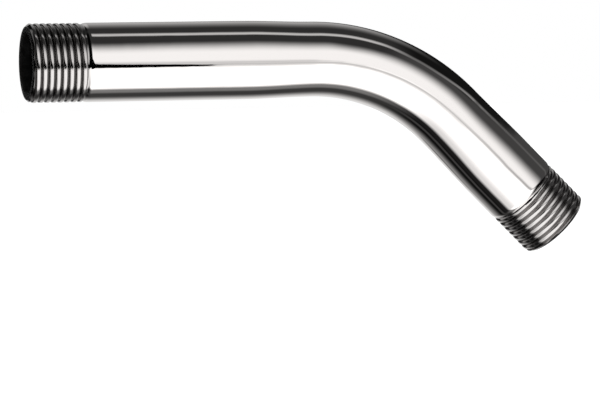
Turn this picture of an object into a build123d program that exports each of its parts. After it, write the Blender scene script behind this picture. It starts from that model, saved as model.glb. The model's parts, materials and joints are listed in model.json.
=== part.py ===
from build123d import *
import math
import os

# Shower arm: one length of tube, bent down, with an outside pipe thread on each end.
# The origin is the centre of the end that goes into the wall. The straight run leaves
# the wall along +X, +Z is up, and the tube bends down in the plane Y = 0.

# Driving dimensions in millimetres and degrees
TUBE_DIAMETER = 21.34
BORE_DIAMETER = 15.8
STRAIGHT_RUN = 79.5
BEND_RADIUS = 56.0
BEND_ANGLE = 45.0
LEG = 44.2

# Threads: full length from the tube's end, with the shape of the ends and of the run-out
WALL_THREAD_LENGTH = 14.6
HEAD_THREAD_LENGTH = 13.2
THREAD_FLANK_ANGLE = 30.0
END_CHAMFER = 0.8
BORE_CHAMFER = 0.4
RUNOUT_DEPTH = 0.4
RUNOUT_FLOOR = 0.3
SHOULDER_LENGTH = 1.4

# Section of the bend: a bent tube loses height in the plane of the bend and gains width across it
BEND_FLATTENING = 0.85
BEND_SPREAD = 0.6
EASING = 20.0

# Worked out from the above
TUBE_RADIUS = TUBE_DIAMETER / 2
BORE_RADIUS = BORE_DIAMETER / 2
ARC_LENGTH = BEND_RADIUS * math.radians(BEND_ANGLE)


def on_centreline(distance):
    """Place on the centreline, this far from the start of the bend, with +X along the tube."""
    before = min(distance, 0)
    turned = BEND_ANGLE * min(max(distance / ARC_LENGTH, 0), 1)
    after = max(distance - ARC_LENGTH, 0)
    return Pos(STRAIGHT_RUN + before, 0, -BEND_RADIUS) * Rot(0, turned, 0) * Pos(after, 0, BEND_RADIUS)


def section(radius, flattened, distance):
    """Section of the tube on the centreline: round, or as the bend leaves it."""
    across = radius + BEND_SPREAD / 2 if flattened else radius
    in_plane = radius - BEND_FLATTENING / 2 if flattened else radius
    return on_centreline(distance) * (Plane.YZ * Ellipse(across, in_plane))


def bent_length(radius):
    """Solid of the bend: the arc at its full flattening and an easing to the round tube at each end."""
    bend_axis = Axis((STRAIGHT_RUN, 0, -BEND_RADIUS), (0, 1, 0))
    arc_start = section(radius, True, 0)
    arc_end = section(radius, True, ARC_LENGTH)
    bend = loft([section(radius, False, -EASING), arc_start])
    bend += revolve(arc_start, bend_axis, BEND_ANGLE)
    bend += loft([arc_end, section(radius, False, ARC_LENGTH + EASING)])
    return bend


def threaded_end(thread_length, length):
    """Solid straight length that runs along +X from its threaded end, at the crest of the thread.

    Past the thread is the run-out: the last flank, a narrow floor and a rounded shoulder.
    """
    floor_radius = TUBE_RADIUS - RUNOUT_DEPTH
    floor_start = thread_length + RUNOUT_DEPTH * math.tan(math.radians(THREAD_FLANK_ANGLE))
    floor_end = floor_start + RUNOUT_FLOOR
    shoulder = floor_end + SHOULDER_LENGTH
    profile = Polyline(
        (length, TUBE_RADIUS),
        (length, 0),
        (0, 0),
        (0, TUBE_RADIUS - END_CHAMFER),
        (END_CHAMFER, TUBE_RADIUS),
        (thread_length, TUBE_RADIUS),
        (floor_start, floor_radius),
        (floor_end, floor_radius),
    )
    profile += TangentArc((shoulder, TUBE_RADIUS), (floor_end, floor_radius), tangent=(-1, 0))
    profile += Line((shoulder, TUBE_RADIUS), (length, TUBE_RADIUS))
    return revolve(make_face(profile), Axis.X)


def bore_end(length):
    """Straight length of the waterway along +X from its chamfered mouth."""
    profile = Polyline(
        (0, 0),
        (0, BORE_RADIUS + BORE_CHAMFER),
        (BORE_CHAMFER, BORE_RADIUS),
        (length, BORE_RADIUS),
        (length, 0),
        close=True,
    )
    return revolve(make_face(profile), Axis.X)


def shower_arm():
    """The whole tube: two threaded ends and the bend between them, with the waterway cut through."""
    wall_length = STRAIGHT_RUN - EASING
    head_length = LEG - EASING
    head_end = on_centreline(ARC_LENGTH + LEG) * Rot(0, 180, 0)
    outside = threaded_end(WALL_THREAD_LENGTH, wall_length)
    outside += bent_length(TUBE_RADIUS)
    outside += head_end * threaded_end(HEAD_THREAD_LENGTH, head_length)
    waterway = bore_end(wall_length)
    waterway += bent_length(BORE_RADIUS)
    waterway += head_end * bore_end(head_length)
    return outside - waterway


os.makedirs("parts", exist_ok=True)
export_step(shower_arm(), "parts/shower_arm.step")
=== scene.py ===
import json
import math

import bmesh
import bpy
from mathutils import Matrix, Vector


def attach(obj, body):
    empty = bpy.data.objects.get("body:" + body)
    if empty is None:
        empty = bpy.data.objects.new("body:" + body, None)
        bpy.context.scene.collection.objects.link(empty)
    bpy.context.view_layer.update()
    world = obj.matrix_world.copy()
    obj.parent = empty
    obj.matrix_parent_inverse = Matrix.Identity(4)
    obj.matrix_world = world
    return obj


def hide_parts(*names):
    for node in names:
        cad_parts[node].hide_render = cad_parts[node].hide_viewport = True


# Chrome shower arm: the tube is modelled straight, with its threads and waterway, and then bent.
# Sizes are in metres, in the frame's own axes: wall end at the origin, run along +X, bend in Y = 0.

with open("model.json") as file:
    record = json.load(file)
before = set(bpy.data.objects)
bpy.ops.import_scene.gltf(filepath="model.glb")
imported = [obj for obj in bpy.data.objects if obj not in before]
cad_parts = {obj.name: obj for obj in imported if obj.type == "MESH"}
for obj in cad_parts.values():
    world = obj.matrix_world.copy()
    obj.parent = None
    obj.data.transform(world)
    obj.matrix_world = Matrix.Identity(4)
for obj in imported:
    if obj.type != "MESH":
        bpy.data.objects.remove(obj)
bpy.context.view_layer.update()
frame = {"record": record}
mounts = {mount["name"]: mount for mount in frame["record"]["mounts"]}
MM = 0.001


def mount_size(name, size):
    """One size of a mount, in metres."""
    return mounts[name]["dims"][size] * MM


# Shape of the ends, the run-out past each thread and the flattened bend
END_CHAMFER = 0.8 * MM
BORE_CHAMFER = 0.4 * MM
RUNOUT_DEPTH = 0.4 * MM
RUNOUT_FLOOR = 0.3 * MM
SHOULDER_LENGTH = 1.4 * MM
BEND_FLATTENING = 0.85 * MM
BEND_SPREAD = 0.6 * MM
EASING = 20 * MM

# Pipe thread: 14 to the inch, right-hand, with broad crests and roots that rise to the run-out
INCH = 25.4 * MM
THREADS_PER_INCH = 14
THREAD_PITCH = INCH / THREADS_PER_INCH
THREAD_DEPTH = 0.75 * MM
ROOT_RISE = 1.2 * MM
FLANK_ANGLE = math.radians(30)
# Half a ridge from crest to root, as shares of half the pitch and of the depth
RIDGE = ((0, 0), (0.2, 0.008), (0.35, 0.03), (0.47, 0.075), (0.56, 0.14), (0.63, 0.24), (0.70, 0.38),
         (0.78, 0.58), (0.86, 0.80), (0.92, 0.93), (0.96, 0.985), (1, 1))
# Crests swept past each end of a thread before it is cut off
SPARE_CRESTS = 2

# Worked out from the frame
TUBE_RADIUS = mount_size("wall_thread", "r_mm")
BORE_RADIUS = mount_size("inlet_bore", "r_mm")
WALL_THREAD = END_CHAMFER + mount_size("wall_thread", "length_mm")
HEAD_THREAD = END_CHAMFER + mount_size("head_thread", "length_mm")
RUN = BORE_CHAMFER + mount_size("inlet_bore", "length_mm") + EASING
LEG = BORE_CHAMFER + mount_size("outlet_bore", "length_mm") + EASING
HEAD_PLACE = Vector(mounts["head_thread"]["pos_m"])
HEAD_AXIS = Vector(mounts["head_thread"]["axis"])
BEND_ANGLE = math.acos(HEAD_AXIS.x)
CORNER = HEAD_PLACE.x - HEAD_PLACE.z * HEAD_AXIS.x / HEAD_AXIS.z
BEND_RADIUS = (CORNER - RUN) / math.tan(BEND_ANGLE / 2)
ARC = BEND_RADIUS * BEND_ANGLE
LENGTH = RUN + ARC + LEG
ROOT_RADIUS = TUBE_RADIUS - THREAD_DEPTH
FLOOR_RADIUS = TUBE_RADIUS - RUNOUT_DEPTH
MOUTH_RADIUS = BORE_RADIUS + BORE_CHAMFER

# Fineness of the mesh
SIDES = 144
SKIN_ROW = 1.0 * MM
BORE_ROW = 2.5 * MM
SHOULDER_ROWS = 8
SHARP_EDGE = math.radians(40)
MERGE = 0.001 * MM


def clamped(value):
    return min(max(value, 0), 1)


def eased(value):
    """Smooth step from 0 to 1."""
    share = clamped(value)
    return share * share * (3 - 2 * share)


def rows(start, end, spacing):
    """Evenly spaced places from start to end."""
    count = math.ceil((end - start) / spacing)
    return [start + (end - start) * step / count for step in range(count + 1)]


def mesh_from(bm, name):
    """Mesh of what a bmesh holds. The bmesh is used up."""
    mesh = bpy.data.meshes.new(name)
    bm.to_mesh(mesh)
    bm.free()
    return mesh


def placed(name, data):
    """New object in the scene, at the origin."""
    made = bpy.data.objects.new(name, data)
    bpy.context.collection.objects.link(made)
    return made


def turned(bm, outline):
    """Adds the round skin of an outline, which gives places along the tube and radii."""
    points = [bm.verts.new((along, 0, radius)) for along, radius in outline]
    lines = [bm.edges.new(pair) for pair in zip(points, points[1:])]
    bmesh.ops.spin(bm, geom=points + lines, cent=(0, 0, 0), axis=(1, 0, 0), angle=math.tau,
                   steps=SIDES, use_merge=True)


def runout(thread_length):
    """Places along the tube where the run-out's floor starts and ends and where its shoulder ends."""
    floor_start = thread_length + RUNOUT_DEPTH * math.tan(FLANK_ANGLE)
    floor_end = floor_start + RUNOUT_FLOOR
    return floor_start, floor_end, floor_end + SHOULDER_LENGTH


def shoulder_outline(thread_length):
    """The shoulder from the run-out's floor up to the tube, an arc that meets the tube flush."""
    shoulder_end = runout(thread_length)[2]
    radius = (SHOULDER_LENGTH ** 2 + RUNOUT_DEPTH ** 2) / (2 * RUNOUT_DEPTH)
    opening = math.asin(SHOULDER_LENGTH / radius)
    angles = [opening * (1 - step / SHOULDER_ROWS) for step in range(SHOULDER_ROWS + 1)]
    return [(shoulder_end - radius * math.sin(a), TUBE_RADIUS - radius * (1 - math.cos(a))) for a in angles]


def thread_limit(along, thread_length):
    """Largest radius at a place near a threaded end: chamfer, crest, last flank and run-out floor."""
    chamfer = TUBE_RADIUS - END_CHAMFER + along
    flank = TUBE_RADIUS - (along - thread_length) / math.tan(FLANK_ANGLE)
    return min(chamfer, TUBE_RADIUS, max(flank, FLOOR_RADIUS))


def root_limit(along, thread_length):
    """Smallest radius at a place near a threaded end: the thread's root, which rises to the run-out floor."""
    floor_start = runout(thread_length)[0]
    return ROOT_RADIUS + (FLOOR_RADIUS - ROOT_RADIUS) * eased((along - floor_start) / ROOT_RISE + 1)


def draw_mouth(bm):
    """Draws the edge of a threaded end at 0 inward, over the flat rim and the chamfer of the waterway."""
    rim = [e for e in bm.edges if e.is_boundary and max(v.co.x for v in e.verts) < MERGE]
    for along, radius in ((0, MOUTH_RADIUS), (BORE_CHAMFER, BORE_RADIUS)):
        drawn = bmesh.ops.extrude_edge_only(bm, edges=rim)["geom"]
        points = [part for part in drawn if isinstance(part, bmesh.types.BMVert)]
        for point in points:
            share = radius / math.hypot(point.co.y, point.co.z)
            point.co = (along, point.co.y * share, point.co.z * share)
        rim = [part for part in drawn if isinstance(part, bmesh.types.BMEdge) and part.is_boundary]


def thread(thread_length):
    """Skin of a threaded end that starts at 0: a ridge swept along its helix, cut off and turned to shape."""
    bm = bmesh.new()
    half = THREAD_PITCH / 2
    ridge = [(-share, depth) for share, depth in reversed(RIDGE[1:])] + list(RIDGE[:-1])
    crests = range(-SPARE_CRESTS, math.ceil(thread_length / THREAD_PITCH) + SPARE_CRESTS)
    outline = [(crest * THREAD_PITCH + share * half, TUBE_RADIUS - depth * THREAD_DEPTH)
               for crest in crests for share, depth in ridge]
    points = [bm.verts.new((along, 0, -radius)) for along, radius in outline]
    lines = [bm.edges.new(pair) for pair in zip(points, points[1:])]
    bmesh.ops.spin(bm, geom=points + lines, cent=(0, 0, 0), axis=(1, 0, 0), angle=math.tau,
                   steps=SIDES, dvec=(THREAD_PITCH / SIDES, 0, 0))
    floor_start, floor_end = runout(thread_length)[:2]
    for cut, cleared in ((0, "clear_inner"), ((floor_start + floor_end) / 2, "clear_outer")):
        bmesh.ops.bisect_plane(bm, geom=bm.verts[:] + bm.edges[:] + bm.faces[:], plane_co=(cut, 0, 0),
                               plane_no=(1, 0, 0), **{cleared: True})
    bmesh.ops.remove_doubles(bm, verts=bm.verts, dist=MERGE)
    for point in bm.verts:
        radius = math.hypot(point.co.y, point.co.z)
        shaped = max(radius, root_limit(point.co.x, thread_length))
        shaped = min(shaped, thread_limit(point.co.x, thread_length))
        point.co.y *= shaped / radius
        point.co.z *= shaped / radius
    draw_mouth(bm)
    return bm


def add(bm, other):
    """Moves what another bmesh holds into bm."""
    carrier = mesh_from(other, "carrier")
    bm.from_mesh(carrier)
    bpy.data.meshes.remove(carrier)


def bridge(bm, start, end):
    """Joins the two open rings that lie between two places along the tube."""
    rim = [e for e in bm.edges if e.is_boundary and start < (e.verts[0].co.x + e.verts[1].co.x) / 2 < end]
    bmesh.ops.bridge_loops(bm, edges=rim)


def bent(point):
    """Where a point of the straight tube lies once the tube is bent."""
    along, across, up = point
    radius = math.hypot(across, up)
    share = clamped((along - RUN) / ARC)
    beyond = along - RUN - ARC * share
    squeeze = eased(1 - abs(beyond) / EASING)
    across *= 1 + squeeze * BEND_SPREAD / 2 / radius
    up *= 1 - squeeze * BEND_FLATTENING / 2 / radius
    place = Matrix.Rotation(BEND_ANGLE * share, 3, "Y") @ Vector((beyond, across, up + BEND_RADIUS))
    return place + Vector((RUN, 0, -BEND_RADIUS))


def arm_mesh():
    """The whole arm: two threaded ends, the skin between them and the waterway, bent together."""
    wall_floor_end, wall_shoulder_end = runout(WALL_THREAD)[1:]
    head_floor_end, head_shoulder_end = runout(HEAD_THREAD)[1:]
    bm = bmesh.new()
    add(bm, thread(HEAD_THREAD))
    about_face = Matrix.Translation((LENGTH, 0, 0)) @ Matrix.Rotation(math.pi, 4, "Z")
    bmesh.ops.transform(bm, matrix=about_face, verts=bm.verts)
    add(bm, thread(WALL_THREAD))
    plain = rows(wall_shoulder_end, LENGTH - head_shoulder_end, SKIN_ROW)[1:-1]
    far_shoulder = [(LENGTH - along, radius) for along, radius in reversed(shoulder_outline(HEAD_THREAD))]
    turned(bm, shoulder_outline(WALL_THREAD) + [(along, TUBE_RADIUS) for along in plain] + far_shoulder)
    bore = rows(BORE_CHAMFER, LENGTH - BORE_CHAMFER, BORE_ROW)[1:-1]
    turned(bm, [(along, BORE_RADIUS) for along in bore])
    bridge(bm, 0, bore[0] + MERGE)
    bridge(bm, WALL_THREAD, wall_floor_end + MERGE)
    bridge(bm, LENGTH - head_floor_end - MERGE, LENGTH - HEAD_THREAD)
    bridge(bm, bore[-1] - MERGE, LENGTH)
    straight = bm.verts.layers.float_vector.new("straight")
    for point in bm.verts:
        point[straight] = point.co
    for face in bm.faces:
        face.smooth = True
        face.material_index = int(all(math.hypot(v.co.y, v.co.z) < MOUTH_RADIUS + MERGE for v in face.verts))
    for point in bm.verts:
        point.co = bent(point.co)
    bmesh.ops.recalc_face_normals(bm, faces=bm.faces)
    for edge in bm.edges:
        edge.smooth = edge.calc_face_angle(0) < SHARP_EDGE
    return mesh_from(bm, "chrome_arm")


class Shade:
    """A socket in a node tree. Arithmetic on it adds Math nodes."""

    def __init__(self, tree, socket=None):
        self.tree = tree
        self.socket = socket

    def node(self, kind, settings=None, inputs=None, out=0):
        """A new node: its settings first, then the values or links of its sockets. Gives one output."""
        made = self.tree.nodes.new("ShaderNode" + kind)
        for name, setting in (settings or {}).items():
            setattr(made, name, setting)
        for name, value in (inputs or {}).items():
            if isinstance(value, Shade):
                self.tree.links.new(value.socket, made.inputs[name])
            else:
                made.inputs[name].default_value = value
        return Shade(self.tree, made.outputs[out]) if made.outputs else None

    def other(self, name):
        """Another output of the node that this socket belongs to."""
        return Shade(self.tree, self.socket.node.outputs[name])

    def math(self, operation, *values):
        return self.node("Math", {"operation": operation}, dict(enumerate(values)))

    def step(self, start, end):
        """Smooth step from 0 at start to 1 at end."""
        ends = {"Value": self, "From Min": start, "From Max": end}
        return self.node("MapRange", {"interpolation_type": "SMOOTHSTEP"}, ends)

    def between(self, start, full, last, end):
        """Band that rises from 0 at start to 1 at full and falls from 1 at last to 0 at end."""
        return self.step(start, full) * (1 - self.step(last, end))

    def __add__(self, value):
        return self.math("ADD", self, value)

    __radd__ = __add__

    def __mul__(self, value):
        return self.math("MULTIPLY", self, value)

    __rmul__ = __mul__

    def __sub__(self, value):
        return self.math("SUBTRACT", self, value)

    def __rsub__(self, value):
        return self.math("SUBTRACT", value, self)


def new_material(name):
    """An empty material, with the start of its node tree."""
    material = bpy.data.materials.new(name)
    material.use_nodes = True
    material.node_tree.nodes.clear()
    return material, Shade(material.node_tree)


def noise(vector, look):
    """Noise with a given scale, detail and roughness."""
    return vector.node("TexNoise", {}, {"Vector": vector, **look})


def mixed(share, first, second):
    """Colour that goes from the first to the second."""
    return share.node("Mix", {"data_type": "RGBA"}, {"Factor": share, "A": first, "B": second}, out="Result")


def cover(start, look):
    """Ends a material's node tree with one shader of this look."""
    start.node("OutputMaterial", {}, {"Surface": start.node("BsdfPrincipled", {}, look)})


# Chrome: colours of the plate, of the cut ends and of the thread's roots, whose dark colour is partly residue
# and partly painted shade
BRIGHT_PLATE = (0.82, 0.79, 0.775, 1)
SATIN_CUT = (0.56, 0.54, 0.53, 1)
ROOT_RESIDUE_AND_SHADE = (0.12, 0.115, 0.112, 1)
# The crests stay bright down to this share of the depth, and the head's roots are this much less dark
# (residue and painted shade)
BRIGHT_CREST = 0.1
HEAD_ROOT_LIGHTENING = 0.5
# Polishing lines, haze and waves: the grain of each, and where its marks start and are full
POLISH_LINES = {"Scale": 2600.0, "Detail": 3.0, "Roughness": 0.6}
POLISH_STRETCH = 0.03
POLISH_MARKS = (0.35, 0.8)
HAZE = {"Scale": 90.0, "Detail": 4.0, "Roughness": 0.55}
HAZE_MARKS = (0.45, 0.8)
WAVES = {"Scale": 160.0, "Detail": 1.0}
# Roughness of the polish and what lines, haze and the cut ends add to it
POLISH_ROUGHNESS = 0.02
LINE_ROUGHNESS = 0.05
HAZE_ROUGHNESS = 0.05
CUT_ROUGHNESS = 0.10
# Height of the lines and of the waves
LINE_BUMP = {"Strength": 0.04, "Distance": 0.05 * MM}
WAVE_BUMP = {"Strength": 0.05, "Distance": 0.5 * MM}


def chrome():
    """Polished chrome plate: faint lengthwise polishing lines, a soft waviness and thread roots darkened
    partly by residue and partly by painted shade.
    """
    material, start = new_material("polished_chrome")
    straight = start.node("Attribute", {"attribute_name": "straight"}, out="Vector")
    along = start.node("SeparateXYZ", {}, {"Vector": straight})
    across, up = along.other("Y"), along.other("Z")
    radius = start.math("SQRT", across * across + up * up)
    # Dark thread roots: partly residue, partly painted shade in the recesses
    root = 1 - radius.step(ROOT_RADIUS, TUBE_RADIUS - BRIGHT_CREST * THREAD_DEPTH)
    root = root * (1 - HEAD_ROOT_LIGHTENING * along.step(RUN, LENGTH - HEAD_THREAD))
    cut = 1 - along.step(WALL_THREAD, WALL_THREAD + RUNOUT_DEPTH)
    cut = cut + along.step(LENGTH - HEAD_THREAD - RUNOUT_DEPTH, LENGTH - HEAD_THREAD)
    stretched = start.node("CombineXYZ", {}, {"X": along * POLISH_STRETCH, "Y": across, "Z": up})
    lines = noise(stretched, POLISH_LINES)
    haze = noise(straight, HAZE)
    waves = noise(straight, WAVES)
    roughness = POLISH_ROUGHNESS + LINE_ROUGHNESS * lines.step(*POLISH_MARKS)
    roughness = roughness + HAZE_ROUGHNESS * haze.step(*HAZE_MARKS) + CUT_ROUGHNESS * cut
    polish = start.node("Bump", {}, {"Height": lines, **LINE_BUMP})
    ripple = start.node("Bump", {}, {"Height": waves, "Normal": polish, **WAVE_BUMP})
    colour = mixed(root, mixed(cut, BRIGHT_PLATE, SATIN_CUT), ROOT_RESIDUE_AND_SHADE)
    cover(start, {"Base Color": colour, "Metallic": 1.0, "Roughness": roughness, "Normal": ripple})
    return material


# Bore: bare metal and the oxide on it, both painted nearly black as painted shade, with the oxide's grain and
# where it starts and is full
BORE_METAL_IN_PAINTED_SHADE = (0.008, 0.0078, 0.0075, 1)
OXIDE_IN_PAINTED_SHADE = (0.003, 0.0028, 0.0025, 1)
OXIDE = {"Scale": 420.0, "Detail": 5.0}
OXIDE_MARKS = (0.35, 0.7)
METAL_ROUGHNESS = 0.6
OXIDE_ROUGHNESS = 0.3


def bare_bore_in_painted_shade():
    """Dull bare metal inside the waterway, with mottled oxide, both painted nearly black as painted shade."""
    material, start = new_material("bare_bore_in_painted_shade")
    straight = start.node("Attribute", {"attribute_name": "straight"}, out="Vector")
    oxide = noise(straight, OXIDE).step(*OXIDE_MARKS)
    # The waterway's painted shade: metal and oxide colours nearly black
    colour = mixed(oxide, BORE_METAL_IN_PAINTED_SHADE, OXIDE_IN_PAINTED_SHADE)
    roughness = METAL_ROUGHNESS + OXIDE_ROUGHNESS * oxide
    cover(start, {"Base Color": colour, "Metallic": 0.2, "Roughness": roughness, "Specular IOR Level": 0.1})
    return material


def pale_floor():
    """Smooth white paper."""
    material, start = new_material("pale_floor")
    cover(start, {"Base Color": (0.86, 0.86, 0.86, 1), "Roughness": 0.9})
    return material


# Light tent: the brightness of each card, as a share of the white, and its soft edges, as light_tent says
DEGREES = 180 / math.pi
TENT_BRIGHTNESS = 1.6
BLACK = 0.001
HORIZON_Z = (-0.02, 0.02)

# Which part of the tent the leg sees, above and below
LEG_UP = (45, 60)
LEG_DOWN = (-5, 22)

# Wall above the white sweep
UPPER_WALL = 0.70
UPPER_WALL_Z = (-0.12, -0.07)

# Dark flag above: from the bend on it is lighter, but past the strip light it is darker until the leg
TOP_FLAG = 0.02
TOP_FLAG_OUT = (29, 65)
TOP_FLAG_DARKER = 0.015
TOP_FLAG_LIGHTER = 0.033
TOP_FLAG_BEND_UP = (35, 44)
PAST_STRIP_OUT = (76, 90)
LEG_LIGHT_UP = (56, 61)
LEG_LIGHT_END_OUT = (98, 106)
LEG_LIGHT_END_ALONG = (0.352, 0.375)

# Degrees by which that flag is nearer over the run, and draws back over the run's middle and over the leg
RUN_FLAG_NEARER = 4
RUN_FLAG_UP = (28, 45)
RUN_FLAG_BACK = 2.5
RUN_FLAG_BACK_X = (0.225, 0.245, 0.30, 0.40)
LEG_FLAG_BACK = 3
LEG_FLAG_BACK_OUT = (45, 75)

# Strip light under the flag: degrees by which it comes nearer and draws back, and how it dims
STRIP_LIGHT = 0.38
STRIP_OUT = (80, 85, 87, 95)
STRIP_START_UP = (2, 11)
STRIP_NEARER = 5
STRIP_NEARER_UP = (34, 43)
STRIP_BACK = 15
STRIP_BACK_UP = (48, 62)
STRIP_BEND_DARKER = 0.28
STRIP_BEND_UP = (30, 43)
STRIP_LEG_LIGHTER = 0.08
STRIP_END_DARKER = 0.11
STRIP_END_ALONG = (0.350, 0.362)

# Grey wall behind the arm, above
BACK_WALL = 0.30
BACK_WALL_OUT = (110, 158)
BACK_WALL_END_UP = (38, 55)

# Grey card below on the left
LEFT_GREY = 0.54
LEFT_GREY_OUT = (42, 75)
LEFT_GREY_DOWN = (8, 28)

# Dark flag below with its paler edge, the streak in it and the wall behind, and how they change on the leg
LOW_EDGE = 0.14
LOW_EDGE_OUT = (78, 90)
LOW_EDGE_LEG_DARKER = 0.132
LOW_FLAG = 0.03
LOW_FLAG_OUT = (95, 106)
LOW_FLAG_LEG_DARKER = 0.027
LOW_LEG_NEARER = 1.5
LOW_STREAK = 0.035
LOW_STREAK_OUT = (102, 106, 109, 113)
LOW_BACK = 0.50
LOW_BACK_OUT = (116, 154)
LOW_BACK_LEG_DARKER = 0.23

# Black flag that closes the front on the left: low down it hangs out of sight, except along the seam
FRONT_END_OUT = (95, 110)
LEFT_FLAG_X = (0, 0.08)
LEFT_FLAG_AWAY = 1.1
LEFT_FLAG_CLOSER = 0.9
LEFT_FLAG_CLOSER_Z = (-0.30, -0.18)
SEAM_Z = -0.16
OFF_SEAM = (0.02, 0.12)

# Light behind the arm on the left, with a black bar in front of it
BACK_LIGHT = 0.35
BACK_LIGHT_END_X = (0.10, 0.16)
BACK_LIGHT_OUT = (112, 150)
BACK_LIGHT_Z = (-0.12, 0)
BACK_BAR_X = (-0.56, -0.46, -0.17, -0.1)
BACK_BAR_OUT = (100, 120)
BACK_BAR_Z = (-0.58, -0.46)

# Black flag that closes the front on the lower right, with a sloping top
RIGHT_FLAG_X = (0.45, 0.80)
RIGHT_FLAG_SLOPE = 0.3
RIGHT_FLAG_TOP_Z = (-0.20, -0.12)


def hang(tent, grey, *masks):
    """The tent with one more card in it, which covers what was there where all the masks meet."""
    covered = masks[0]
    for mask in masks[1:]:
        covered = covered * mask
    return tent + (grey - tent) * covered


def light_tent():
    """White tent with dark and grey cards in it, for the chrome to mirror. The camera sees plain white.

    A card's edge has the place where the card starts and the place where it is full. A band also has those
    where it fades and where it ends. Places named OUT are in degrees out from the front of the arm, UP in
    degrees round from straight up to the right, and DOWN in degrees round from straight down to the left.
    The rest are on a sphere of radius 1, along X, Z or the leg.
    """
    world = bpy.data.worlds.new("light_tent")
    world.use_nodes = True
    world.node_tree.nodes.clear()
    start = Shade(world.node_tree)
    x = start.node("SeparateXYZ", {}, {"Vector": start.node("TexCoord", out="Generated")})
    y, z = x.other("Y"), x.other("Z")
    out = start.math("ARCCOSINE", 0 - y) * DEGREES
    round_up = start.math("ARCTAN2", x, z) * DEGREES
    round_down = start.math("ARCTAN2", 0 - x, 0 - z) * DEGREES
    along_leg = x - z
    above = z.step(*HORIZON_Z)
    below = 1 - above
    leg_above = round_up.step(*LEG_UP)
    leg_below = round_down.step(*LEG_DOWN)

    # White sweep below, slightly greyer wall above
    tent = 1 - (1 - UPPER_WALL) * z.step(*UPPER_WALL_Z)

    # Above: a soft-edged dark flag, a strip light under it and a grey wall behind
    leg_light_end = out.step(*LEG_LIGHT_END_OUT) * (1 - along_leg.step(*LEG_LIGHT_END_ALONG))
    leg_light = round_up.step(*LEG_LIGHT_UP) * (1 - leg_light_end)
    lighter = TOP_FLAG_LIGHTER * (1 - out.step(*PAST_STRIP_OUT) * (1 - leg_light))
    top_flag = TOP_FLAG + round_up.step(*TOP_FLAG_BEND_UP) * (lighter - TOP_FLAG_DARKER)
    flag_place = out + RUN_FLAG_NEARER * (1 - round_up.step(*RUN_FLAG_UP))
    flag_place = flag_place - LEG_FLAG_BACK * leg_above * out.step(*LEG_FLAG_BACK_OUT)
    flag_place = flag_place - RUN_FLAG_BACK * x.between(*RUN_FLAG_BACK_X)
    tent = hang(tent, top_flag, flag_place.step(*TOP_FLAG_OUT), above)
    strip_place = out + STRIP_NEARER * round_up.step(*STRIP_NEARER_UP)
    strip_place = strip_place - STRIP_BACK * round_up.step(*STRIP_BACK_UP)
    strip_light = STRIP_LIGHT - STRIP_BEND_DARKER * round_up.step(*STRIP_BEND_UP)
    strip_end = STRIP_END_DARKER * along_leg.step(*STRIP_END_ALONG)
    strip_light = strip_light + leg_above * (STRIP_LEG_LIGHTER - strip_end)
    tent = hang(tent, strip_light, strip_place.between(*STRIP_OUT), round_up.step(*STRIP_START_UP), above)
    tent = hang(tent, BACK_WALL, out.step(*BACK_WALL_OUT), 1 - round_up.step(*BACK_WALL_END_UP), above)

    # Below: a grey card on the left, a dark flag with a paler edge and a lighter wall behind
    tent = hang(tent, LEFT_GREY, out.step(*LEFT_GREY_OUT), round_down.step(*LEFT_GREY_DOWN), below)
    low_place = out + LOW_LEG_NEARER * leg_below
    tent = hang(tent, LOW_EDGE - LOW_EDGE_LEG_DARKER * leg_below, low_place.step(*LOW_EDGE_OUT), below)
    tent = hang(tent, LOW_FLAG - LOW_FLAG_LEG_DARKER * leg_below, low_place.step(*LOW_FLAG_OUT), below)
    tent = hang(tent, LOW_STREAK, out.between(*LOW_STREAK_OUT), leg_below, below)
    tent = hang(tent, LOW_BACK - LOW_BACK_LEG_DARKER * leg_below, out.step(*LOW_BACK_OUT), below)

    # Sides: black flags that close the front to the left and to the lower right, and a light behind the left
    front = 1 - out.step(*FRONT_END_OUT)
    off_seam = start.math("ABSOLUTE", z - SEAM_Z).step(*OFF_SEAM)
    left_edge = (LEFT_FLAG_AWAY - LEFT_FLAG_CLOSER * z.step(*LEFT_FLAG_CLOSER_Z)) * off_seam
    tent = hang(tent, BLACK, (0 - x - left_edge).step(*LEFT_FLAG_X), front)
    back_light_end = 1 - x.step(*BACK_LIGHT_END_X)
    tent = hang(tent, BACK_LIGHT, back_light_end, out.step(*BACK_LIGHT_OUT), z.step(*BACK_LIGHT_Z))
    tent = hang(tent, BLACK, x.between(*BACK_BAR_X), out.step(*BACK_BAR_OUT), z.step(*BACK_BAR_Z))
    right_top = 1 - (z - RIGHT_FLAG_SLOPE * x).step(*RIGHT_FLAG_TOP_Z)
    tent = hang(tent, BLACK, x.step(*RIGHT_FLAG_X), right_top, front)

    # The camera sees plain white instead of the tent
    seen = start.node("LightPath", out="Is Camera Ray")
    strength = TENT_BRIGHTNESS * tent
    strength = strength + seen * (1 - strength)
    surface = start.node("Background", {}, {"Color": (1, 1, 1, 1), "Strength": strength})
    start.node("OutputWorld", {}, {"Surface": surface})
    bpy.context.scene.world = world


# Camera, fitted to the outline in the photograph
CAMERA_PLACE = Vector((-0.1831, -0.8952, 0.0130))
CAMERA_YAW = math.radians(16.14)
CAMERA_PITCH = math.radians(-3.24)
CAMERA_ROLL = math.radians(-0.64)
FOCAL_LENGTH_PX = 3396
PHOTO_WIDTH_PX = 600
SENSOR_WIDTH = 36
FARTHEST_SEEN = 100


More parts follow.
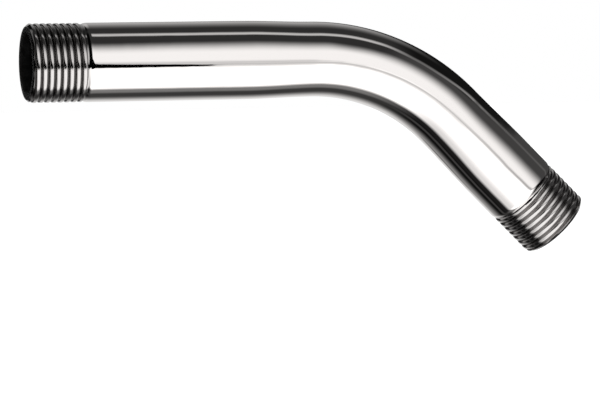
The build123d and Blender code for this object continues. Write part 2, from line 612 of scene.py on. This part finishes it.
def place_camera():
    data = bpy.data.cameras.new("camera")
    data.sensor_width = SENSOR_WIDTH
    data.lens = FOCAL_LENGTH_PX * SENSOR_WIDTH / PHOTO_WIDTH_PX
    data.clip_end = FARTHEST_SEEN
    camera = placed("camera", data)
    forward = Vector((
        math.sin(CAMERA_YAW) * math.cos(CAMERA_PITCH),
        math.cos(CAMERA_YAW) * math.cos(CAMERA_PITCH),
        math.sin(CAMERA_PITCH),
    ))
    level = Vector((math.cos(CAMERA_YAW), -math.sin(CAMERA_YAW), 0))
    upright = Matrix((level, level.cross(forward), -forward)).transposed()
    rolled = upright @ Matrix.Rotation(CAMERA_ROLL, 3, "Z")
    camera.matrix_world = Matrix.Translation(CAMERA_PLACE) @ rolled.to_4x4()
    bpy.context.scene.camera = camera


FLOOR_HEIGHT = -0.25
FLOOR_HALF_WIDTH = 8


def lay_floor():
    """Wide floor under the arm, which isn't seen in the chrome."""
    bm = bmesh.new()
    bmesh.ops.create_grid(bm, x_segments=1, y_segments=1, size=FLOOR_HALF_WIDTH)
    bmesh.ops.translate(bm, verts=bm.verts, vec=(0, 0, FLOOR_HEIGHT))
    floor = placed("floor", mesh_from(bm, "floor"))
    floor.data.materials.append(pale_floor())
    floor.visible_glossy = False


# Two narrow cards in front of the arm: the place of each end along the arm, with its bottom and top there
BLACK_CARD = ((-150 * MM, -114 * MM, 125 * MM), (127 * MM, -81 * MM, -55 * MM))
GREY_CARD = ((60 * MM, -130 * MM, 25 * MM), (700 * MM, -130 * MM, 25 * MM))
BLACK_CARD_FORWARD = -300 * MM
GREY_CARD_FORWARD = -301 * MM

# Gauze of the grey card: how much it darkens, where its middle hangs and how far it fades to each side
GAUZE_WEAVE = 0.58
GAUZE_MIDDLE = -60 * MM
GAUZE_FADE = 30 * MM
# What is added to that on the left, up to where the gauze narrows
GAUZE_HIGHER = 9 * MM
GAUZE_FADE_DOWN = 48 * MM
GAUZE_FADE_UP = 42 * MM
GAUZE_NARROWS = (150 * MM, 190 * MM)


def black_velvet():
    """Cloth that sends no light back."""
    material, start = new_material("black_velvet")
    cover(start, {"Base Color": (0, 0, 0, 1), "Specular IOR Level": 0.0})
    return material


def grey_gauze():
    """Gauze that darkens what is behind it, most along its middle."""
    material, start = new_material("grey_gauze")
    along = start.node("SeparateXYZ", {}, {"Vector": start.node("TexCoord", out="Object")})
    broad = 1 - along.step(*GAUZE_NARROWS)
    off_middle = along.other("Z") - GAUZE_MIDDLE - GAUZE_HIGHER * broad
    fade_down = -GAUZE_FADE - GAUZE_FADE_DOWN * broad
    fade_up = GAUZE_FADE + GAUZE_FADE_UP * broad
    weave = GAUZE_WEAVE * off_middle.between(fade_down, 0, 0, fade_up)
    clear = start.node("BsdfTransparent")
    cloth = start.node("BsdfDiffuse", {}, {"Color": (0, 0, 0, 1)})
    surface = start.node("MixShader", {}, {0: weave, 1: clear, 2: cloth})
    start.node("OutputMaterial", {}, {"Surface": surface})
    return material


def stand_card(name, ends, forward, material):
    """Narrow card in front of the arm, seen only in the chrome, where it draws a dark line."""
    bm = bmesh.new()
    bmesh.ops.create_grid(bm, x_segments=1, y_segments=1, size=1)
    for point in bm.verts:
        along, low, high = ends[int(point.co.x > 0)]
        point.co = (along, forward, high if point.co.y > 0 else low)
    card = placed(name, mesh_from(bm, name))
    card.data.materials.append(material)
    card.visible_camera = False
    card.visible_diffuse = False
    card.visible_shadow = False


OVERHEAD_STRENGTH = 4
OVERHEAD_SPREAD = math.radians(120)


def hang_overhead_light():
    """Even, soft light from straight above that brings the floor up to white and isn't seen in the chrome."""
    data = bpy.data.lights.new("overhead", "SUN")
    data.energy = OVERHEAD_STRENGTH
    data.angle = OVERHEAD_SPREAD
    placed("overhead", data).visible_glossy = False


arm = placed("chrome_arm", arm_mesh())
arm.data.materials.append(chrome())
arm.data.materials.append(bare_bore_in_painted_shade())
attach(arm, "root")
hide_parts("shower_arm")

light_tent()
lay_floor()
stand_card("black_card", BLACK_CARD, BLACK_CARD_FORWARD, black_velvet())
stand_card("grey_card", GREY_CARD, GREY_CARD_FORWARD, grey_gauze())
hang_overhead_light()
place_camera()
bpy.context.scene.view_settings.view_transform = "Standard"
